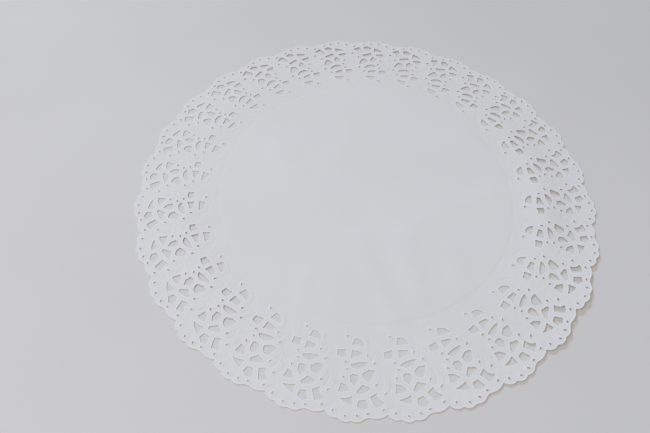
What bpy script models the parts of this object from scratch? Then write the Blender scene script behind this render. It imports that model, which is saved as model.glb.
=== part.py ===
"""A round lace doily of white embossed paper, lying flat with its border a little lifted.

The doily is one die-cut sheet: a plain flat centre and a lace border whose outer edge is
scalloped. The border is one small repeat, charted once and turned round the centre.
It is modelled in metres, +Z up, with the origin under the middle of the sheet.
"""

import math
from collections import namedtuple

import bmesh
import bpy
from mathutils.geometry import delaunay_2d_cdt

# Driving dimensions. The doily is charted in millimetres and built in metres.
MM = 0.001
REPEATS = 28
SHEET_THICKNESS = 1.0
CENTRE_RADIUS = 98.0
EDGE_RADIUS = 152.0
PAPER_COLOUR = (0.80, 0.81, 0.83, 1.0)

# An arc is cut into chords, one for each step of its bow.
BOW_PER_CHORD = 0.3

# Rings of points that bend the sheet between its flat centre and its lace border.
RING_RADII = (CENTRE_RADIUS, 102.0)
RING_POINTS_PER_REPEAT = 2

# The centre rests on the table. The lace border rises from it, more and more steeply, to
# the scalloped edge, and stands in low swells that are highest on a circle near its inner
# side. Both heights are evenly spaced round the doily, clockwise from the far side. The
# foot of the swells is cut off, so that the centre stays flat.
EDGE_HEIGHTS = (1.0, 1.0, 0.7, 1.0, 1.0, 2.5, 0.9, 0.2, 0.1, 0.2, 0.25, 0.2, 0.25, 0.75)
SWELL_RADIUS = 119.0
SWELL_WIDTH = 12.0
SWELL_FOOT = 0.05
SWELL_HEIGHTS = (0.25, 0.1, 0.55, 1.05, 1.5, 0.4, 0.2, 0.05, 0.0, 0.55, 0.55, 0.15, 0.25, 0.15)

# One repeat of the lace. Every row is a corner: how far across and how far out from the
# doily's centre it lies, and how far the side that starts there bows to the left of its
# run. The corners of an opening run clockwise, so a positive bow swells the opening.
Corner = namedtuple("Corner", "across out bow")

OPENINGS = {
    "outer_left": (
        Corner(-22.8, 139.1, 0.5),
        Corner(-18.2, 142.6, 0.0),
        Corner(-14.8, 137.4, 0.0),
        Corner(-18.4, 134.6, -1.3),
    ),
    "outer_middle": (
        Corner(-14.9, 143.2, 0.0),
        Corner(-12.0, 144.8, 0.0),
        Corner(-8.6, 143.3, 0.0),
        Corner(-8.9, 140.0, 0.0),
        Corner(-12.4, 139.0, 0.0),
    ),
    "wheel_left": (
        Corner(-15.2, 133.6, 0.3),
        Corner(-8.4, 137.0, 0.0),
        Corner(-7.4, 135.6, 0.0),
        Corner(-10.3, 131.4, -0.2),
        Corner(-14.2, 132.2, 0.0),
    ),
    "wheel_right": (
        Corner(-4.2, 135.3, 0.7),
        Corner(2.3, 136.6, -0.2),
        Corner(1.5, 131.6, -0.2),
        Corner(-1.3, 132.2, 0.0),
    ),
    "wheel_foot": (
        Corner(-8.2, 129.3, 0.0),
        Corner(-6.1, 132.9, 0.0),
        Corner(-3.5, 130.4, -0.3),
        Corner(-3.0, 127.3, 0.0),
        Corner(-4.8, 126.2, 0.0),
        Corner(-7.4, 126.5, 0.0),
    ),
    "dome": (
        Corner(-14.6, 129.2, 1.6),
        Corner(-9.7, 125.4, 0.0),
        Corner(-12.9, 122.9, 0.0),
        Corner(-16.4, 122.9, 0.3),
    ),
    "lens": (
        Corner(-12.1, 118.8, 1.4),
        Corner(-5.6, 123.4, 0.4),
        Corner(-2.8, 121.5, 0.6),
    ),
    "small_square": (
        Corner(-8.4, 116.0, -0.2),
        Corner(-2.8, 117.9, 0.0),
        Corner(-2.7, 113.1, 0.0),
        Corner(-8.5, 113.5, 0.0),
    ),
    "square": (
        Corner(-0.2, 117.1, 0.7),
        Corner(5.3, 117.0, -0.2),
        Corner(5.1, 113.6, -0.3),
        Corner(0.4, 112.6, 0.0),
    ),
    "shell": (
        Corner(-9.9, 110.2, 0.0),
        Corner(-2.5, 110.2, -0.2),
        Corner(-3.4, 106.1, 1.65),
    ),
}

# The scallops of one repeat, from the notch where it starts to the next repeat's notch.
SCALLOPS = (
    Corner(-24.9, 145.0, 1.1),
    Corner(-16.4, 147.9, -0.35),
    Corner(-12.6, 149.4, 1.0),
    Corner(-6.1, 150.6, 1.4),
    Corner(1.0, 150.0, 1.5),
)


def turned(point, turn):
    """Turn a charted point clockwise about the centre by a number of repeats."""
    angle = -turn * math.tau / REPEATS
    across, out = point
    return (
        across * math.cos(angle) - out * math.sin(angle),
        across * math.sin(angle) + out * math.cos(angle),
    )


def bowed_side(start, end, bow):
    """Points along one side, from its start up to, but not at, its end."""
    chords = max(1, math.ceil(abs(bow) / BOW_PER_CHORD))
    if chords == 1:
        return [start]
    along_x = end[0] - start[0]
    along_y = end[1] - start[1]
    length = math.hypot(along_x, along_y)
    radius = (length * length / 4 + bow * bow) / (2 * abs(bow))
    half_angle = math.asin(length / (2 * radius))
    points = []
    for step in range(chords):
        angle = half_angle * (2 * step / chords - 1)
        run = 0.5 + math.sin(angle) * radius / length
        rise = math.copysign(radius * (math.cos(angle) - math.cos(half_angle)), bow) / length
        points.append((
            start[0] + along_x * run - along_y * rise,
            start[1] + along_y * run + along_x * rise,
        ))
    return points


def closed_outline(corners):
    """The whole outline of one opening."""
    points = []
    for corner, following in zip(corners, corners[1:] + corners[:1]):
        points += bowed_side(corner[:2], following[:2], corner.bow)
    return points


def scalloped_edge():
    """The doily's outer edge, all the way round."""
    ends = [corner[:2] for corner in SCALLOPS[1:]] + [turned(SCALLOPS[0][:2], 1)]
    repeat = []
    for corner, end in zip(SCALLOPS, ends):
        repeat += bowed_side(corner[:2], end, corner.bow)
    return [turned(point, turn) for turn in range(REPEATS) for point in repeat]


def ring(radius, count):
    """Evenly spaced points on a circle about the centre."""
    angles = [math.tau * index / count for index in range(count)]
    return [(radius * math.sin(angle), radius * math.cos(angle)) for angle in angles]


def height_round(heights, across, out):
    """The height in the direction of a point, eased between evenly spaced heights."""
    places = len(heights)
    place = math.atan2(across, out) / math.tau * places % places
    before = int(place) % places
    share = (1 - math.cos(math.pi * (place - int(place)))) / 2
    return heights[before] * (1 - share) + heights[(before + 1) % places] * share


def lift(across, out):
    """How high the underside of the sheet lies at a point."""
    radius = math.hypot(across, out)
    rise = max(0.0, (radius - CENTRE_RADIUS) / (EDGE_RADIUS - CENTRE_RADIUS)) ** 2
    bell = math.exp(-(((radius - SWELL_RADIUS) / SWELL_WIDTH) ** 2))
    swell = max(0.0, bell - SWELL_FOOT)
    edge = height_round(EDGE_HEIGHTS, across, out) * rise
    return edge + height_round(SWELL_HEIGHTS, across, out) * swell


def flat_lace():
    """The sheet as flat triangles, with the openings left out: its points and its faces."""
    loops = [scalloped_edge()]
    for corners in OPENINGS.values():
        outline = closed_outline(corners)
        loops += [[turned(point, turn) for point in outline] for turn in range(REPEATS)]
    points = []
    outlines = []
    for loop in loops:
        outlines.append(list(range(len(points), len(points) + len(loop))))
        points += loop
    for radius in RING_RADII:
        points += ring(radius, REPEATS * RING_POINTS_PER_REPEAT)
    points.append((0.0, 0.0))
    inside_with_holes = 2
    merge_distance = 0.0001
    found = delaunay_2d_cdt(points, [], outlines, inside_with_holes, merge_distance)
    return found[0], found[2]


def make_paper():
    """The doily's own material: matt white paper."""
    paper = bpy.data.materials.new("white_paper")
    paper.use_nodes = True
    shader = paper.node_tree.nodes["Principled BSDF"]
    shader.inputs["Base Color"].default_value = PAPER_COLOUR
    shader.inputs["Roughness"].default_value = 0.8
    shader.inputs["Metallic"].default_value = 0.0
    return paper


def make_doily():
    """One closed sheet: the flat lace raised to its lift, then thickened straight up."""
    points, faces = flat_lace()
    sheet = bmesh.new()
    underside = [sheet.verts.new((x * MM, y * MM, lift(x, y) * MM)) for x, y in points]
    for face in faces:
        sheet.faces.new([underside[index] for index in face])
    raised = bmesh.ops.extrude_face_region(sheet, geom=sheet.faces[:])
    top = [item for item in raised["geom"] if isinstance(item, bmesh.types.BMVert)]
    bmesh.ops.translate(sheet, verts=top, vec=(0.0, 0.0, SHEET_THICKNESS * MM))
    bmesh.ops.recalc_face_normals(sheet, faces=sheet.faces[:])
    mesh = bpy.data.meshes.new("doily")
    sheet.to_mesh(mesh)
    sheet.free()
    mesh.materials.append(make_paper())
    doily = bpy.data.objects.new("doily", mesh)
    bpy.context.scene.collection.objects.link(doily)
    return doily


for old_object in list(bpy.data.objects):
    bpy.data.objects.remove(old_object, do_unlink=True)

make_doily()
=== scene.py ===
"""A round lace doily of white embossed paper, lying on a pale table in a bright room.

The doily is charted in millimetres, across and out from its centre, and built in metres.
Across runs along +X, and out runs along +Y, away from the camera.
"""

import math
from collections import namedtuple

import bmesh
import bpy
import numpy as np
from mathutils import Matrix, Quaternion, Vector
from mathutils.geometry import delaunay_2d_cdt


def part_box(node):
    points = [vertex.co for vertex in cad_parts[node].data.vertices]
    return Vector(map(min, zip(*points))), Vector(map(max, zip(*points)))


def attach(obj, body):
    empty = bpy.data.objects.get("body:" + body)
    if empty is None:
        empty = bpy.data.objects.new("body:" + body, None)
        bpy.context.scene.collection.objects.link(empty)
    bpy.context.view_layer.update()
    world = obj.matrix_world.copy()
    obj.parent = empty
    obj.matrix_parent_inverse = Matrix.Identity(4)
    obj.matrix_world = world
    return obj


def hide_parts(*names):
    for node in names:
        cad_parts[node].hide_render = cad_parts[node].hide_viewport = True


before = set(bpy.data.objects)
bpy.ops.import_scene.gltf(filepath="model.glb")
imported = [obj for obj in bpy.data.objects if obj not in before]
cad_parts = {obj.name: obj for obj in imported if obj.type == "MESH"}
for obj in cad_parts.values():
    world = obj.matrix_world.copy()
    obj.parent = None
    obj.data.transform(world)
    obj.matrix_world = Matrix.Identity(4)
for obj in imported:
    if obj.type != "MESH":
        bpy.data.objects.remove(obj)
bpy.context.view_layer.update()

# ---------------------------------------------------------------------------------------
# The doily: one sheet of thin white paper, pressed in a lace die that embosses it and
# punches its openings and its scalloped edge in one stroke. It lies loose on the table,
# flat in its plain centre and a little lifted round its lace border.
# ---------------------------------------------------------------------------------------

# The sheet, in millimetres. Its lace is one repeat, set side by side round its plain centre.
REPEATS = 28
CENTRE_RADIUS = 98.0
EDGE_RADIUS = 152.0
PAPER_THICKNESS = 0.12

# The openings that the die punches in one repeat. Every row is a corner: how far across and
# how far out from the centre it lies, and how far the side that starts there bows to the
# left of its run. The corners of an opening run clockwise, so a positive bow swells it.
Corner = namedtuple("Corner", "across out bow")

OPENINGS = {
    "outer_left": (
        Corner(-22.8, 139.1, 0.5),
        Corner(-18.2, 142.6, 0.0),
        Corner(-14.8, 137.4, 0.0),
        Corner(-18.4, 134.6, -1.3),
    ),
    "outer_middle": (
        Corner(-14.9, 143.2, 0.0),
        Corner(-12.0, 144.8, 0.0),
        Corner(-8.6, 143.3, 0.0),
        Corner(-8.9, 140.0, 0.0),
        Corner(-12.4, 139.0, 0.0),
    ),
    "outer_right": (
        Corner(-6.2, 142.7, 0.7),
        Corner(1.0, 139.9, -0.5),
        Corner(-5.7, 138.0, 0.0),
    ),
    "wheel_left": (
        Corner(-15.2, 133.6, 0.3),
        Corner(-8.4, 137.0, 0.0),
        Corner(-7.4, 135.6, 0.0),
        Corner(-10.3, 131.4, -0.2),
        Corner(-14.2, 132.2, 0.0),
    ),
    "wheel_right": (
        Corner(-4.2, 135.3, 0.7),
        Corner(2.3, 136.6, -0.2),
        Corner(1.5, 131.6, -0.2),
        Corner(-1.3, 132.2, 0.0),
    ),
    "wheel_foot": (
        Corner(-8.2, 129.3, 0.0),
        Corner(-6.1, 132.9, 0.0),
        Corner(-3.5, 130.4, -0.3),
        Corner(-3.0, 127.3, 0.0),
        Corner(-4.8, 126.2, 0.0),
        Corner(-7.4, 126.5, 0.0),
    ),
    "dome": (
        Corner(-14.6, 129.2, 1.6),
        Corner(-9.7, 125.4, 0.0),
        Corner(-12.9, 122.9, 0.0),
        Corner(-16.4, 122.9, 0.3),
    ),
    "lens": (
        Corner(-12.1, 118.8, 1.4),
        Corner(-5.6, 123.4, 0.4),
        Corner(-2.8, 121.5, 0.6),
    ),
    "small_square": (
        Corner(-8.4, 116.0, -0.2),
        Corner(-2.8, 117.9, 0.0),
        Corner(-2.7, 113.1, 0.0),
        Corner(-8.5, 113.5, 0.0),
    ),
    "square": (
        Corner(-0.2, 117.1, 0.7),
        Corner(5.3, 117.0, -0.2),
        Corner(5.1, 113.6, -0.3),
        Corner(0.4, 112.6, 0.0),
    ),
    "shell": (
        Corner(-9.9, 110.2, 0.0),
        Corner(-2.5, 110.2, -0.2),
        Corner(-3.4, 106.1, 1.65),
    ),
}

# The scallops of one repeat, from the notch where it starts to the next repeat's notch.
SCALLOPS = (
    Corner(-24.9, 145.0, 1.1),
    Corner(-16.4, 147.9, -0.35),
    Corner(-12.6, 149.4, 1.0),
    Corner(-6.1, 150.6, 1.4),
    Corner(1.0, 150.0, 1.5),
)

# The pinholes of one repeat. Each is an oval: its middle, how many degrees it slants
# anticlockwise from across, its length and its width.
Pinhole = namedtuple("Pinhole", "across out slant length width")

PINHOLES = (
    Pinhole(-22.6, 143.1, 45, 1.9, 1.2),
    Pinhole(-14.6, 146.1, 10, 1.9, 1.1),
    Pinhole(-9.2, 148.0, -45, 2.0, 1.2),
    Pinhole(-3.0, 148.9, -50, 1.7, 1.1),
    Pinhole(3.8, 146.8, 85, 1.7, 1.2),
    Pinhole(-23.1, 134.8, 50, 2.1, 1.2),
    Pinhole(-17.8, 130.8, 75, 1.9, 1.2),
    Pinhole(-16.0, 119.2, 50, 2.0, 1.2),
    Pinhole(-11.7, 115.0, 75, 1.8, 1.1),
    Pinhole(0.1, 128.8, -45, 1.7, 1.2),
    Pinhole(-1.5, 124.2, -15, 1.8, 1.1),
    Pinhole(-0.2, 120.2, 10, 1.8, 1.1),
    Pinhole(0.2, 105.5, -30, 2.1, 1.7),
)

# Cuts have a point at each step, and pinholes this many in all. The die's corners are worn
# round: a point of a cut weighs this much against each of its two neighbours.
CUT_STEP = 0.72
PINHOLE_POINTS = 9
WORN_CORNER_WEIGHT = 8


def turned(points, turn):
    """Charted points turned clockwise about the centre by a number of repeats."""
    angle = turn * math.tau / REPEATS
    cosine = math.cos(angle)
    sine = math.sin(angle)
    return np.asarray(points) @ np.array(((cosine, -sine), (sine, cosine)))


def round_the_doily(points):
    """One repeat's points, repeated all the way round."""
    return np.concatenate([turned(points, turn) for turn in range(REPEATS)])


def with_neighbours(points):
    """One repeat's points with those of the repeat before it and after it."""
    return np.concatenate([turned(points, turn) for turn in (-1, 0, 1)])


def bowed_side(start, end, bow):
    """Evenly spaced points along one side, from its start up to, but not at, its end."""
    start = np.array(start)
    along = np.array(end) - start
    left = np.array((-along[1], along[0]))
    length = math.hypot(*along)
    count = max(1, round(length / CUT_STEP))
    run = np.arange(count) / count
    rise = np.zeros(count)
    if bow:
        radius = (length * length / 4 + bow * bow) / (2 * abs(bow))
        half_angle = math.asin(length / (2 * radius))
        angle = half_angle * (2 * run - 1)
        run = 0.5 + np.sin(angle) * radius / length
        rise = math.copysign(radius / length, bow) * (np.cos(angle) - math.cos(half_angle))
    return start + np.outer(run, along) + np.outer(rise, left)


def eased(outline):
    """A closed outline with its corners a little rounded, as a worn die cuts them."""
    before = np.roll(outline, 1, axis=0)
    after = np.roll(outline, -1, axis=0)
    return (before + WORN_CORNER_WEIGHT * outline + after) / (WORN_CORNER_WEIGHT + 2)


def opening_outline(corners):
    """The closed outline of one opening, clockwise."""
    ends = corners[1:] + corners[:1]
    sides = [bowed_side(corner[:2], end[:2], corner.bow) for corner, end in zip(corners, ends)]
    return eased(np.concatenate(sides))


def pinhole_outline(pinhole):
    """The closed oval of one pinhole, clockwise."""
    angles = -math.tau * np.arange(PINHOLE_POINTS) / PINHOLE_POINTS
    slant = math.radians(pinhole.slant)
    length_way = np.array((math.cos(slant), math.sin(slant)))
    width_way = np.array((-math.sin(slant), math.cos(slant)))
    oval = np.outer(np.cos(angles) * pinhole.length / 2, length_way)
    oval += np.outer(np.sin(angles) * pinhole.width / 2, width_way)
    return oval + (pinhole.across, pinhole.out)


def scalloped_edge():
    """The doily's closed outer edge, clockwise, repeat after repeat."""
    ends = [corner[:2] for corner in SCALLOPS[1:]] + [turned(SCALLOPS[0][:2], 1)]
    sides = [bowed_side(corner[:2], end, corner.bow) for corner, end in zip(SCALLOPS, ends)]
    return eased(round_the_doily(np.concatenate(sides)))


edge = scalloped_edge()
edge_count = len(edge) // REPEATS
openings = [opening_outline(corners) for corners in OPENINGS.values()]
pinholes = [pinhole_outline(pinhole) for pinhole in PINHOLES]

# The grooves that the die presses in one repeat: a fan, a swirl, a curl by the inner pinhole,
# one by the rim, and the short creases between the scallops. Each is its depth and the
# places it runs through.
Groove = namedtuple("Groove", "depth places")

GROOVES = (
    Groove(0.11, ((-20.2, 133.2), (-21.4, 130.6), (-21.4, 127.8), (-20.4, 126.0))),
    Groove(0.09, ((-25.1, 133.0), (-25.6, 130.8), (-24.8, 128.0), (-23.3, 126.0))),
    Groove(0.05, ((-23.0, 131.2), (-23.5, 129.4), (-23.0, 127.4), (-21.9, 125.4))),
    Groove(0.08, ((-19.3, 129.0), (-19.9, 126.4), (-19.6, 124.4))),
    Groove(0.06, ((-26.4, 126.9), (-24.4, 124.9), (-22.6, 123.4))),
    Groove(0.05, ((-26.5, 124.8), (-24.8, 123.3), (-23.0, 122.2))),
    Groove(0.05, ((-21.9, 123.2), (-20.2, 121.6), (-18.7, 120.3))),
    Groove(0.05, ((-25.6, 122.6), (-24.2, 122.0), (-22.0, 120.8), (-19.4, 119.6))),
    Groove(0.08, (
        (-18.3, 116.8), (-18.5, 114.4), (-18.0, 112.0), (-16.9, 110.0), (-15.3, 107.8),
        (-13.4, 106.0), (-11.0, 104.6), (-8.6, 103.8), (-6.2, 103.4),
    )),
    Groove(0.07, (
        (-16.8, 116.6), (-17.0, 113.9), (-16.2, 111.4), (-15.0, 109.3), (-13.3, 107.6),
        (-11.4, 106.3),
    )),
    Groove(0.04, ((-15.7, 112.0), (-14.9, 110.6), (-13.6, 109.1), (-12.1, 107.6))),
    Groove(0.09, ((-14.3, 117.0), (-15.2, 115.0), (-15.2, 113.2), (-14.5, 111.4))),
    Groove(0.09, ((-12.4, 113.4), (-13.4, 112.2), (-13.6, 110.2), (-12.9, 108.8))),
    Groove(0.06, ((-12.0, 112.2), (-12.2, 110.2), (-11.7, 107.9))),
    Groove(0.06, ((2.3, 108.2), (2.2, 106.8), (3.2, 105.5), (3.2, 103.9), (2.3, 102.7))),
    Groove(0.06, ((3.7, 142.6), (3.4, 141.2), (4.4, 140.2), (5.6, 139.0))),
    Groove(0.06, ((1.0, 149.4), (1.1, 146.8), (0.8, 145.0))),
    Groove(0.05, ((-6.0, 150.0), (-5.7, 147.8), (-5.6, 146.0))),
    Groove(0.07, ((-24.9, 144.4), (-25.3, 142.4), (-26.0, 140.6))),
)
GROOVE_WIDTH = 0.58

# The faint creases that packing has left in the plain centre. Each is a soft ridge: its
# height, its width and the places it runs through, across and out from the centre.
Crease = namedtuple("Crease", "height width places")

CREASES = (
    Crease(0.48, 8.0, ((17.5, -44.0), (20.0, -62.0), (21.0, -80.0))),
    Crease(0.42, 7.0, ((-9.0, -42.0), (-6.0, -62.0), (0.0, -80.0), (5.0, -93.0))),
    Crease(0.24, 6.0, ((26.0, -32.0), (40.0, -25.0), (60.0, -19.0), (84.0, -10.0))),
    Crease(0.65, 11.0, ((-56.0, 36.0), (-51.0, 14.0), (-36.0, -2.0), (-20.0, -12.0))),
    Crease(0.28, 9.0, ((-4.0, 78.0), (-3.0, 52.0), (-16.0, 28.0))),
    Crease(0.20, 5.0, ((-44.0, -62.0), (-48.0, -70.0), (-47.0, -80.0))),
    Crease(0.20, 7.0, ((48.0, -52.0), (50.0, -64.0), (46.0, -76.0))),
)

# Both kinds of line have their corners cut by this share of each straight, so many times over.
CORNER_CUT = 0.25
CORNER_CUTS = 2


def rounded_line(places):
    """A listed line with its corners cut off, and cut off again, into a smooth curve."""
    line = np.array(places)
    for _ in range(CORNER_CUTS):
        after = (1 - CORNER_CUT) * line[:-1] + CORNER_CUT * line[1:]
        before = CORNER_CUT * line[:-1] + (1 - CORNER_CUT) * line[1:]
        corners = np.stack((after, before), axis=1).reshape(-1, 2)
        line = np.concatenate((line[:1], corners, line[-1:]))
    return line


groove_lines = [rounded_line(groove.places) for groove in GROOVES]
crease_lines = [rounded_line(crease.places) for crease in CREASES]


def sides_of(outline, closed=True):
    """The straight pieces of a line of points, as rows of start and end."""
    ends = np.roll(outline, -1, axis=0)
    sides = np.concatenate((outline, ends), axis=1)
    return sides if closed else sides[:-1]


def sides_round(outlines, closed=True):
    """The pieces of several lines, with those of the neighbouring repeats."""
    return np.concatenate([
        sides_of(turned(outline, turn), closed) for outline in outlines for turn in (-1, 0, 1)
    ])


def distance_to(points, sides):
    """How far each point is from the nearest of the sides."""
    start = sides[:, :2]
    along = sides[:, 2:] - start
    offset = points[:, None, :] - start
    share = np.clip((offset * along).sum(2) / (along * along).sum(1), 0, 1)
    gap = offset - share[:, :, None] * along
    return np.sqrt((gap * gap).sum(2).min(1))


def is_inside(points, sides):
    """True for each point that the closed sides go round an odd number of times."""
    start_x, start_y, end_x, end_y = sides.T
    x = points[:, :1]
    y = points[:, 1:]
    spans = (start_y > y) != (end_y > y)
    with np.errstate(divide="ignore", invalid="ignore"):
        crossing = start_x + (y - start_y) * (end_x - start_x) / (end_y - start_y)
    return (spans & (x < crossing)).sum(1) % 2 == 1


# A repeat is only measured to the part of the edge that lies this near to its own scallops.
NEAR_EDGE_REACH = 50.0

opening_sides = sides_round(openings)
pinhole_sides = sides_round(pinholes)
edge_sides = sides_of(edge)
from_own_scallops = edge_sides[:, :2] - np.mean([corner[:2] for corner in SCALLOPS], axis=0)
near_edge_sides = edge_sides[np.hypot(*from_own_scallops.T) < NEAR_EDGE_REACH]

# The pressed heights: the whole border stands over the plain centre, the punches turn up a
# lip round each opening and a higher one round each pinhole, and a fine circle is sunk round
# the centre. The pinholes' lips get this share of the painted highlight on the other lips.
BORDER_RELIEF = 0.03
BORDER_SLOPE_WIDTH = 4.0
LIP_RELIEF = 0.03
LIP_WIDTH = 0.55
PINHOLE_LIP_RELIEF = 0.12
PINHOLE_HIGHLIGHT_SHARE = 0.6
CIRCLE_DEPTH = 0.10
CIRCLE_WIDTH = 0.8


def hump(distance, width):
    """A smooth rounded rise, 1 where the distance is 0 and 0 well away."""
    return np.exp(-(distance / width) ** 2)


def circle_relief(points):
    """The sheet's height at its flat centre, dipping into the groove of the circle."""
    radius = np.hypot(points[:, 0], points[:, 1])
    return CIRCLE_DEPTH * (1 - hump(radius - CENTRE_RADIUS, CIRCLE_WIDTH))


def to_nearest_cut(points):
    """How far one repeat's points are from the nearest opening or from the edge."""
    to_edge = distance_to(points, near_edge_sides)
    return np.minimum(distance_to(points, opening_sides), to_edge)


def lace_relief(points):
    """How high the die presses one repeat's points above the flat paper."""
    radius = np.hypot(points[:, 0], points[:, 1])
    border = np.clip((radius - CENTRE_RADIUS) / BORDER_SLOPE_WIDTH, 0, 1)
    height = circle_relief(points) + BORDER_RELIEF * border * border * (3 - 2 * border)
    height += LIP_RELIEF * hump(to_nearest_cut(points), LIP_WIDTH)
    height += PINHOLE_LIP_RELIEF * hump(distance_to(points, pinhole_sides), LIP_WIDTH)
    for groove, line in zip(GROOVES, groove_lines):
        to_groove = distance_to(points, sides_round([line], closed=False))
        height -= groove.depth * hump(to_groove, GROOVE_WIDTH)
    return height


def lip_highlight_share(points):
    """How much painted highlight one repeat's points get: most on a lip, none on the face."""
    round_cuts = hump(to_nearest_cut(points), LIP_WIDTH)
    round_pinholes = hump(distance_to(points, pinhole_sides), LIP_WIDTH)
    return np.maximum(round_cuts, PINHOLE_HIGHLIGHT_SHARE * round_pinholes)


# How the sheet lies. Its plain centre rests on the table. Its scalloped edge stands off the
# table by the edge heights, and its lace arches up behind that by the swell heights, at even
# places round the doily, clockwise from the far side. The foot of the swells is cut off, so
# that the centre stays flat.
EDGE_HEIGHTS = (1.0, 1.0, 0.7, 1.0, 1.0, 2.5, 0.9, 0.2, 0.1, 0.2, 0.25, 0.2, 0.25, 0.75)
SWELL_HEIGHTS = (0.25, 0.1, 0.55, 1.05, 1.5, 0.4, 0.2, 0.05, 0.0, 0.55, 0.55, 0.15, 0.25, 0.15)
SWELL_RADIUS = 119.0
SWELL_WIDTH = 12.0
SWELL_FOOT = 0.05


def height_round(heights, points):
    """The heights given round the doily, eased from each place to the next."""
    places = len(heights)
    place = np.arctan2(points[:, 0], points[:, 1]) / math.tau * places % places
    before = place.astype(int) % places
    share = (1 - np.cos(math.pi * (place - np.floor(place)))) / 2
    heights = np.array(heights)
    return heights[before] * (1 - share) + heights[(before + 1) % places] * share


def lift(points):
    """How high the sheet lies off the table, before its relief."""
    radius = np.hypot(points[:, 0], points[:, 1])
    rise = np.maximum((radius - CENTRE_RADIUS) / (EDGE_RADIUS - CENTRE_RADIUS), 0) ** 2
    swell = np.maximum(hump(radius - SWELL_RADIUS, SWELL_WIDTH) - SWELL_FOOT, 0)
    height = height_round(EDGE_HEIGHTS, points) * rise
    height += height_round(SWELL_HEIGHTS, points) * swell
    for crease, line in zip(CREASES, crease_lines):
        to_crease = distance_to(points, sides_of(line, closed=False))
        height += crease.height * hump(to_crease, crease.width)
    return height


# Where one repeat's mesh meets the one before it, clear of all openings: from this much
# across on the centre's circle, out past these places, to the notch.
SEAM_FOOT_ACROSS = -15.0
SEAM = (
    (-16.6, 104.0), (-17.9, 110.5), (-18.4, 116.0), (-21.6, 121.5), (-24.4, 128.0),
    (-25.9, 134.0), (-25.7, 139.5), (-25.1, 143.6),
)

# How finely the sheet is meshed: over its face, over its underside, and in the plain centre
# of each. New points keep at least the spacings from all points placed before them. Collars
# are rows of points set off from a cut, and banks are rows set off from the middle of a
# groove, in groove widths.
FACE_STEP = 1.0
FACE_SPACING = 0.62
UNDERSIDE_STEP = 2.2
CENTRE_STEP = 3.5
UNDERSIDE_CENTRE_STEP = 5.0
COLLAR_WIDTHS = (0.36, 0.85)
COLLAR_SPACING = 0.29
GROOVE_BANKS = (0, -0.7, 0.7, -2.2, 2.2)
GROOVE_SPACING = 0.3

# The rows of a grid of even triangles stand this share of its step apart. The centre's rings
# stand further and further apart, each time by this growth, up to the centre's step.
ROW_GAP = math.sqrt(0.75)
RING_GAP_GROWTH = 1.35


def leftward(run):
    """A step of one millimetre to the left of each way that a line runs."""
    return np.stack((-run[:, 1], run[:, 0]), axis=1) / np.hypot(run[:, 0], run[:, 1])[:, None]


def collar(outline, width):
    """A closed outline moved by a width to the left of its run."""
    run = np.roll(outline, -1, axis=0) - np.roll(outline, 1, axis=0)
    return outline + width * leftward(run)


def is_paper(points):
    """True for each point that lies on the sheet, clear of every cut."""
    holes = np.concatenate((opening_sides, pinhole_sides))
    return is_inside(points, edge_sides) & ~is_inside(points, holes)


def spread_out(candidates, kept, spacing):
    """The candidates on the paper that keep their distance from all points kept so far."""
    candidates = candidates[is_paper(candidates)]
    crowd = np.full((3 * (len(candidates) + len(kept)), 2), np.inf)
    taken = 3 * len(kept)
    crowd[:taken] = with_neighbours(kept)
    chosen = []
    for point in candidates:
        gaps = crowd[:taken] - point
        if (gaps * gaps).sum(1).min() > spacing * spacing:
            crowd[taken:taken + 3] = with_neighbours(point[None])
            taken += 3
            chosen.append(point)
    return np.array(chosen).reshape(-1, 2)


def evenly_along(places, step):
    """Evenly spaced points along a listed line, without its last place."""
    lengths = np.hypot(*(places[1:] - places[:-1]).T)
    reached = np.concatenate(((0,), np.cumsum(lengths)))
    count = round(reached[-1] / step)
    wanted = reached[-1] * np.arange(count) / count
    return np.column_stack([np.interp(wanted, reached, places[:, axis]) for axis in (0, 1)])


def along_groove(line):
    """Points down the middle of a groove, on its banks and at their feet, to shape it."""
    middle = evenly_along(line, CUT_STEP)
    left = leftward(np.gradient(middle, axis=0))
    return np.concatenate([middle + bank * GROOVE_WIDTH * left for bank in GROOVE_BANKS])


def on_circle(radius, angles):
    """Points on a circle about the centre, at angles clockwise from straight out."""
    return radius * np.stack((np.sin(angles), np.cos(angles)), axis=1)


def staggered(count, row):
    """Even shares from 0 to 1, moved on by half a share in every other row."""
    return (np.arange(count) + 0.5 * (row % 2)) / count


def lace_grid(step):
    """Staggered points of one repeat between the centre's circle and the edge."""
    points = []
    radius = CENTRE_RADIUS
    row = 0
    while radius < EDGE_RADIUS:
        count = round(radius * math.tau / REPEATS / step)
        points.append(on_circle(radius, staggered(count, row) * math.tau / REPEATS))
        radius += step * ROW_GAP
        row += 1
    return np.concatenate(points)


def centre_grid(step):
    """Rings of points over the plain centre, finer towards its circle."""
    points = [np.zeros((1, 2))]
    radius = CENTRE_RADIUS - FACE_STEP
    row = 0
    gap = FACE_STEP
    while radius > step:
        count = round(radius * math.tau / gap)
        points.append(on_circle(radius, staggered(count, row) * math.tau))
        gap = min(step, gap * RING_GAP_GROWTH)
        radius -= gap
        row += 1
    return np.concatenate(points)


def circle_arc(step):
    """Points on the centre's circle from one repeat's seam up to, but not at, the next."""
    count = round(CENTRE_RADIUS * math.tau / REPEATS / step)
    first = math.asin(SEAM_FOOT_ACROSS / CENTRE_RADIUS)
    return on_circle(CENTRE_RADIUS, first + math.tau / REPEATS * np.arange(count) / count)


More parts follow.
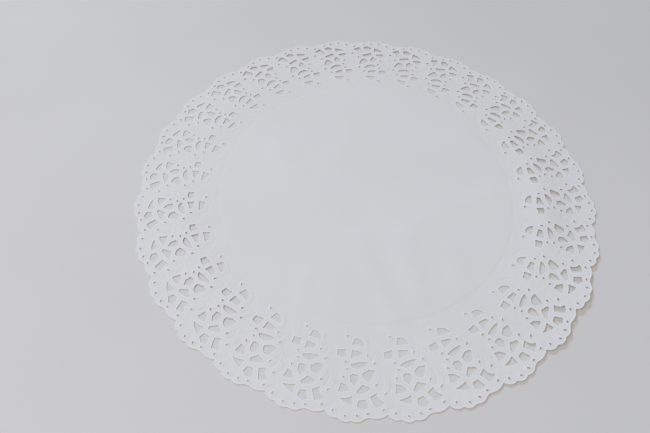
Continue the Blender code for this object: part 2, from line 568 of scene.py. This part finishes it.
def face_points(kept):
    """One repeat's points over the face: collars beside the cuts, grooves, then a grid.

    The paper lies to the left of an opening's run, and to the right of the edge's.
    """
    outlines = [(outline, len(outline), 1) for outline in openings + pinholes]
    outlines.append((edge, edge_count, -1))
    groups = [
        (collar(outline, paper_side * width)[:count], COLLAR_SPACING)
        for outline, count, paper_side in outlines for width in COLLAR_WIDTHS
    ]
    groups += [(along_groove(line), GROOVE_SPACING) for line in groove_lines]
    groups.append((lace_grid(FACE_STEP), FACE_SPACING))
    found = np.zeros((0, 2))
    for candidates, spacing in groups:
        new_points = spread_out(candidates, np.concatenate((kept, found)), spacing)
        found = np.concatenate((found, new_points))
    return found


def underside_points(kept):
    """One repeat's points over the underside: a coarser grid."""
    return spread_out(lace_grid(UNDERSIDE_STEP), kept, FACE_SPACING)


cuts = np.concatenate([edge[:edge_count]] + openings + pinholes)


def triangles_of(points, outlines):
    """The triangles that fill the first outline and leave out the others."""
    inside_with_holes = 2
    merge_distance = 1e-5
    flat = [Vector(point) for point in points.tolist()]
    found = delaunay_2d_cdt(flat, [], outlines, inside_with_holes, merge_distance)
    return found[2]


def lay_out_repeat(step, inner_points):
    """One repeat's points, and the numbers of those on the centre's circle and on its seam."""
    arc = circle_arc(step)
    seam = evenly_along(np.concatenate((arc[:1], SEAM, edge[:1])), step)[1:]
    fixed_points = np.concatenate((cuts, arc, seam))
    first_seam = len(cuts) + len(arc)
    arc_numbers = list(range(len(cuts), first_seam))
    seam_numbers = arc_numbers[:1] + list(range(first_seam, len(fixed_points))) + [0]
    repeat = np.concatenate((fixed_points, inner_points(fixed_points)))
    return repeat, arc_numbers, seam_numbers


def hole_numbers():
    """The numbers of one repeat's points round each opening and each pinhole."""
    holes = []
    first = edge_count
    for hole in openings + pinholes:
        holes.append(list(range(first, first + len(hole))))
        first += len(hole)
    return holes


def repeat_triangles(repeat, arc_numbers, seam_numbers, holes):
    """One repeat's triangles, with the next one's seam numbered on from its own points."""
    next_numbers = list(range(len(repeat), len(repeat) + len(seam_numbers)))
    outline = seam_numbers[:-1] + list(range(edge_count))
    outline += next_numbers[::-1] + arc_numbers[:0:-1]
    with_next = np.concatenate((repeat, turned(repeat[seam_numbers], 1)))
    return triangles_of(with_next, [outline] + holes)


def flat_side(step, inner_points, centre_step):
    """One side of the sheet, flat: its points, its triangles, and the loops of its cuts."""
    repeat, arc_numbers, seam_numbers = lay_out_repeat(step, inner_points)
    holes = hole_numbers()
    count = len(repeat)
    starts = [turn * count for turn in range(REPEATS)]
    loops = [[start + number for start in starts for number in range(edge_count)]]
    loops += [[start + number for number in hole] for hole in holes for start in starts]
    triangles = []
    for face in repeat_triangles(repeat, arc_numbers, seam_numbers, holes):
        for start in starts:
            following = (start + count) % (REPEATS * count)
            triangles.append([
                start + number if number < count else following + seam_numbers[number - count]
                for number in face
            ])
    lace = round_the_doily(repeat)
    centre = centre_grid(centre_step)
    circle = [start + number for start in starts for number in arc_numbers]
    numbers = circle + list(range(len(lace), len(lace) + len(centre)))
    for face in triangles_of(np.concatenate((lace[circle], centre)), [list(range(len(circle)))]):
        triangles.append([numbers[number] for number in face])
    return repeat, centre, triangles, loops


# A slope is measured this far to each side of a point. The sheet shades smoothly where it
# turns less than this angle, and is crisp along its cuts.
SLOPE_REACH = 0.04
CRISP_ANGLE = math.radians(38)


def slopes(height_of, points):
    """How steeply a height rises across and outwards at each point."""
    ways = ((SLOPE_REACH, 0), (0, SLOPE_REACH))
    rises = [height_of(points + way) - height_of(points - way) for way in ways]
    return np.column_stack(rises) / (2 * SLOPE_REACH)


def face_heights(repeat, centre):
    """The face's points at their heights: on the paper, with its relief."""
    flat = np.concatenate((round_the_doily(repeat), centre))
    relief = np.concatenate((np.tile(lace_relief(repeat), REPEATS), circle_relief(centre)))
    return np.column_stack((flat, lift(flat) + PAPER_THICKNESS + relief))


def face_normals(repeat, centre):
    """The face's exact normals, so that fine relief shades truly between the points."""
    flat = np.concatenate((round_the_doily(repeat), centre))
    relief = np.concatenate((
        round_the_doily(slopes(lace_relief, repeat)), slopes(circle_relief, centre)))
    normals = np.column_stack((-relief - slopes(lift, flat), np.ones(len(flat))))
    return normals / np.linalg.norm(normals, axis=1)[:, None]


def underside_heights(repeat, centre):
    """The underside's points at their heights: smooth, where the sheet lies."""
    flat = np.concatenate((round_the_doily(repeat), centre))
    return np.column_stack((flat, lift(flat)))


def cut_walls(upper_loops, lower_loops):
    """The faces that join the two sides of the sheet all along its cuts."""
    walls = []
    for upper, lower in zip(upper_loops, lower_loops):
        for place in range(len(upper)):
            following = (place + 1) % len(upper)
            walls.append([upper[place], upper[following], lower[following], lower[place]])
    return walls


def turn_faces_outward(mesh):
    """Turn every face of a closed mesh so that it looks outward."""
    sheet = bmesh.new()
    sheet.from_mesh(mesh)
    bmesh.ops.recalc_face_normals(sheet, faces=sheet.faces[:])
    sheet.to_mesh(mesh)
    sheet.free()


def shade_sheet(mesh, top_normals, top_triangles):
    """Shade the face by its exact normals, and leave the rest, at zero, to Blender."""
    mesh.shade_smooth()
    mesh.set_sharp_from_angle(angle=CRISP_ANGLE)
    corners = np.empty(len(mesh.loops), dtype=np.int32)
    mesh.loops.foreach_get("vertex_index", corners)
    top_corners = 3 * top_triangles
    normals = np.zeros((len(corners), 3))
    normals[:top_corners] = top_normals[corners[:top_corners]]
    mesh.normals_split_custom_set(normals.tolist())


def make_sheet(name, unit):
    """The whole sheet as one closed mesh: its face, its underside and its cut edges."""
    repeat, centre, top_triangles, top_loops = flat_side(FACE_STEP, face_points, CENTRE_STEP)
    top = face_heights(repeat, centre)
    top_normals = face_normals(repeat, centre)
    # Painted highlight: each point's share of the white painted along the lips of the cuts.
    lip_highlight = np.tile(lip_highlight_share(repeat), REPEATS)
    repeat, centre, under_triangles, under_loops = flat_side(
        UNDERSIDE_STEP, underside_points, UNDERSIDE_CENTRE_STEP)
    underside = underside_heights(repeat, centre)
    under_triangles = (len(top) + np.array(under_triangles)[:, ::-1]).tolist()
    under_loops = [[len(top) + number for number in loop] for loop in under_loops]
    faces = top_triangles + under_triangles + cut_walls(top_loops, under_loops)
    mesh = bpy.data.meshes.new(name)
    mesh.from_pydata((np.concatenate((top, underside)) * unit).tolist(), [], faces)
    turn_faces_outward(mesh)
    shade_sheet(mesh, top_normals, len(top_triangles))
    # The painted highlight is kept on the mesh, for the paper's colour to read.
    lip_highlight_values = np.zeros(len(mesh.vertices))
    lip_highlight_values[:len(lip_highlight)] = lip_highlight
    mesh.attributes.new("lip_highlight", "FLOAT", "POINT").data.foreach_set("value", lip_highlight_values)
    return mesh


# What all matt surfaces share: how fine and how rough the noises of their clouds and fibre
# are, the part of a noise's range that is spread out from 0 to 1, a low shine, and how fully
# the fibre's height shows.
CLOUD_DETAIL = 3.0
CLOUD_ROUGHNESS = 0.45
FIBRE_DETAIL = 4.0
FIBRE_ROUGHNESS = 0.60
NOISE_LOW = 0.3
NOISE_HIGH = 0.7
MATT_SHINE = 0.1
FIBRE_STRENGTH = 0.6


def matt_grain():
    """A node group for a matt surface: broad soft clouds, and the fine height of its fibre."""
    group = bpy.data.node_groups.new("matt_grain", "ShaderNodeTree")
    sockets = group.interface
    sockets.new_socket("Cloud Size", in_out="INPUT", socket_type="NodeSocketFloat")
    sockets.new_socket("Fibre Size", in_out="INPUT", socket_type="NodeSocketFloat")
    sockets.new_socket("Cloud", in_out="OUTPUT", socket_type="NodeSocketFloat")
    sockets.new_socket("Fibre", in_out="OUTPUT", socket_type="NodeSocketFloat")
    nodes = group.nodes
    links = group.links
    given = nodes.new("NodeGroupInput")
    result = nodes.new("NodeGroupOutput")
    place = nodes.new("ShaderNodeTexCoord")
    for size, output, detail, roughness in (
        ("Cloud Size", "Cloud", CLOUD_DETAIL, CLOUD_ROUGHNESS),
        ("Fibre Size", "Fibre", FIBRE_DETAIL, FIBRE_ROUGHNESS),
    ):
        scale = nodes.new("ShaderNodeMath")
        scale.operation = "DIVIDE"
        scale.inputs[0].default_value = 1.0
        noise = nodes.new("ShaderNodeTexNoise")
        noise.inputs["Detail"].default_value = detail
        noise.inputs["Roughness"].default_value = roughness
        spread = nodes.new("ShaderNodeMapRange")
        spread.inputs["From Min"].default_value = NOISE_LOW
        spread.inputs["From Max"].default_value = NOISE_HIGH
        links.new(given.outputs[size], scale.inputs[1])
        links.new(scale.outputs[0], noise.inputs["Scale"])
        links.new(place.outputs["Object"], noise.inputs["Vector"])
        links.new(noise.outputs["Fac"], spread.inputs["Value"])
        links.new(spread.outputs["Result"], result.inputs[output])
    return group


grain = matt_grain()

# A matt finish: the sizes of its clouds and its fibre and the fibre's height, in metres, its
# two tones, and how rough it is at its smoothest and its roughest.
Finish = namedtuple("Finish", "cloud_size fibre_size fibre_height dark light smoothest roughest")


def matt_material(name, finish):
    """A matt surface: two close tones in soft clouds, with a fibre's bump and roughness."""
    material = bpy.data.materials.new(name)
    material.use_nodes = True
    nodes = material.node_tree.nodes
    links = material.node_tree.links
    shader = nodes["Principled BSDF"]
    shader.inputs["Specular IOR Level"].default_value = MATT_SHINE
    surface = nodes.new("ShaderNodeGroup")
    surface.node_tree = grain
    surface.inputs["Cloud Size"].default_value = finish.cloud_size
    surface.inputs["Fibre Size"].default_value = finish.fibre_size
    tone = nodes.new("ShaderNodeMix")
    tone.name = "tone"
    tone.data_type = "RGBA"
    tone.inputs["A"].default_value = finish.dark
    tone.inputs["B"].default_value = finish.light
    links.new(surface.outputs["Cloud"], tone.inputs["Factor"])
    links.new(tone.outputs["Result"], shader.inputs["Base Color"])
    gloss = nodes.new("ShaderNodeMapRange")
    gloss.inputs["To Min"].default_value = finish.smoothest
    gloss.inputs["To Max"].default_value = finish.roughest
    links.new(surface.outputs["Fibre"], gloss.inputs["Value"])
    links.new(gloss.outputs["Result"], shader.inputs["Roughness"])
    bump = nodes.new("ShaderNodeBump")
    bump.inputs["Strength"].default_value = FIBRE_STRENGTH
    bump.inputs["Distance"].default_value = finish.fibre_height
    links.new(surface.outputs["Fibre"], bump.inputs["Height"])
    links.new(bump.outputs["Normal"], shader.inputs["Normal"])
    return material


# The paper is cool white and matt, with a painted highlight whitening the lips of its cuts.
# It is thin enough to let some of the lamps' light through.
PAPER_FINISH = Finish(
    cloud_size=0.060, fibre_size=0.0006, fibre_height=0.00003,
    dark=(0.800, 0.810, 0.830, 1.0), light=(0.825, 0.832, 0.854, 1.0),
    smoothest=0.66, roughest=0.80)
LIP_HIGHLIGHT_WHITE = (0.88, 0.89, 0.91, 1.0)
LETS_THROUGH = (0.42, 0.39, 0.34, 1.0)


def paint_lip_highlights(paper):
    """Mix the painted highlight's white into the paper's tone where the mesh marks a lip."""
    nodes = paper.node_tree.nodes
    links = paper.node_tree.links
    lip_highlight = nodes.new("ShaderNodeAttribute")
    lip_highlight.attribute_name = "lip_highlight"
    highlighted = nodes.new("ShaderNodeMix")
    highlighted.data_type = "RGBA"
    highlighted.inputs["B"].default_value = LIP_HIGHLIGHT_WHITE
    links.new(lip_highlight.outputs["Fac"], highlighted.inputs["Factor"])
    links.new(nodes["tone"].outputs["Result"], highlighted.inputs["A"])
    links.new(highlighted.outputs["Result"], nodes["Principled BSDF"].inputs["Base Color"])


def let_light_through(paper):
    """Let part of the lamps' light pass, so that the shadows under the sheet stay soft."""
    nodes = paper.node_tree.nodes
    links = paper.node_tree.links
    ray = nodes.new("ShaderNodeLightPath")
    thin = nodes.new("ShaderNodeBsdfTransparent")
    thin.inputs["Color"].default_value = LETS_THROUGH
    sheet = nodes.new("ShaderNodeMixShader")
    links.new(ray.outputs["Is Shadow Ray"], sheet.inputs[0])
    links.new(nodes["Principled BSDF"].outputs[0], sheet.inputs[1])
    links.new(thin.outputs[0], sheet.inputs[2])
    links.new(sheet.outputs[0], nodes["Material Output"].inputs["Surface"])


paper = matt_material("pressed_paper", PAPER_FINISH)
paint_lip_highlights(paper)
let_light_through(paper)

# The sheet takes its real size from the doily's solid. Its flat area is the scalloped
# round's, less its openings and pinholes.
low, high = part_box("doily")
unit = (high[0] - low[0]) / (edge[:, 0].max() - edge[:, 0].min())


doily = bpy.data.objects.new("doily_sheet", make_sheet("doily_sheet", unit))
bpy.context.scene.collection.objects.link(doily)
doily.data.materials.append(paper)

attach(doily, "root")
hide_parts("doily")


# ---------------------------------------------------------------------------------------
# The table: a plain pale board with a matt top, far wider than the doily. It is only there
# to carry the sheet and to take its shadows.
# ---------------------------------------------------------------------------------------

# In metres. The board lies a hair under the sheet, so that the two don't share a plane.
TABLE_HALF_WIDTH = 3.0
TABLE_GAP = 0.00005
TABLE_FINISH = Finish(
    cloud_size=0.12, fibre_size=0.0015, fibre_height=0.00002,
    dark=(0.730, 0.732, 0.737, 1.0), light=(0.756, 0.758, 0.765, 1.0),
    smoothest=0.55, roughest=0.65)

table_mesh = bpy.data.meshes.new("table")
table_corners = [
    (x * TABLE_HALF_WIDTH, y * TABLE_HALF_WIDTH, 0.0)
    for x, y in ((-1, -1), (1, -1), (1, 1), (-1, 1))
]
table_mesh.from_pydata(table_corners, [], [(0, 1, 2, 3)])
table = bpy.data.objects.new("table", table_mesh)
table.location.z = -TABLE_GAP
bpy.context.scene.collection.objects.link(table)
table_mesh.materials.append(matt_material("pale_board", TABLE_FINISH))


# ---------------------------------------------------------------------------------------
# The light: cool daylight from a window a long way off beyond the doily, a broad soft panel
# overhead on the left, and the warm pale room all round.
# ---------------------------------------------------------------------------------------

# The window's light comes from this course, anticlockwise from +X, and from this angle over
# the table. The panel's place and size are in metres, and it faces the doily's middle.
WINDOW_COURSE = math.radians(108)
WINDOW_RISE = math.radians(34)
WINDOW_SOFTNESS = math.radians(10)
WINDOW_STRENGTH = 1.30
WINDOW_COLOUR = (0.50, 0.74, 1.0)
PANEL_PLACE = Vector((-0.9, -0.25, 1.5))
PANEL_SIZE = 1.2
PANEL_POWER = 14.6
PANEL_COLOUR = (1.0, 0.95, 0.87)
ROOM_STRENGTH = 0.277
ROOM_COLOUR = (1.0, 0.855, 0.808, 1.0)

window_data = bpy.data.lights.new("window", "SUN")
window_data.energy = WINDOW_STRENGTH
window_data.color = WINDOW_COLOUR
window_data.angle = WINDOW_SOFTNESS
window = bpy.data.objects.new("window", window_data)
window.rotation_euler = (math.pi / 2 - WINDOW_RISE, 0, WINDOW_COURSE + math.pi / 2)
bpy.context.scene.collection.objects.link(window)

panel_data = bpy.data.lights.new("panel", "AREA")
panel_data.shape = "SQUARE"
panel_data.size = PANEL_SIZE
panel_data.energy = PANEL_POWER
panel_data.color = PANEL_COLOUR
panel = bpy.data.objects.new("panel", panel_data)
panel.location = PANEL_PLACE
panel.rotation_euler = (-PANEL_PLACE).to_track_quat("-Z", "Y").to_euler()
bpy.context.scene.collection.objects.link(panel)

room = bpy.data.worlds.new("room")
room.use_nodes = True
room.node_tree.nodes["Background"].inputs["Color"].default_value = ROOM_COLOUR
room.node_tree.nodes["Background"].inputs["Strength"].default_value = ROOM_STRENGTH
bpy.context.scene.world = room
bpy.context.scene.view_settings.view_transform = "Standard"


# ---------------------------------------------------------------------------------------
# The camera: hand-held over the near side of the doily, looking down at its middle through
# a fairly wide lens, with everything sharp.
# ---------------------------------------------------------------------------------------

# Its place and the point it looks at, in metres, and its lens and sensor, in millimetres.
CAMERA_PLACE = Vector((-0.05375, -0.21524, 0.28972))
CAMERA_AIM = Vector((-0.02929, -0.02109, 0.0007))
CAMERA_ROLL = math.radians(2.324)
CAMERA_LENS = 29.991
CAMERA_SENSOR = 36.0

camera_data = bpy.data.cameras.new("camera")
camera_data.sensor_width = CAMERA_SENSOR
camera_data.lens = CAMERA_LENS
camera = bpy.data.objects.new("camera", camera_data)
camera.location = CAMERA_PLACE
look = (CAMERA_AIM - CAMERA_PLACE).to_track_quat("-Z", "Y")
camera.rotation_euler = (look @ Quaternion((0, 0, 1), CAMERA_ROLL)).to_euler()
bpy.context.scene.collection.objects.link(camera)
bpy.context.scene.camera = camera
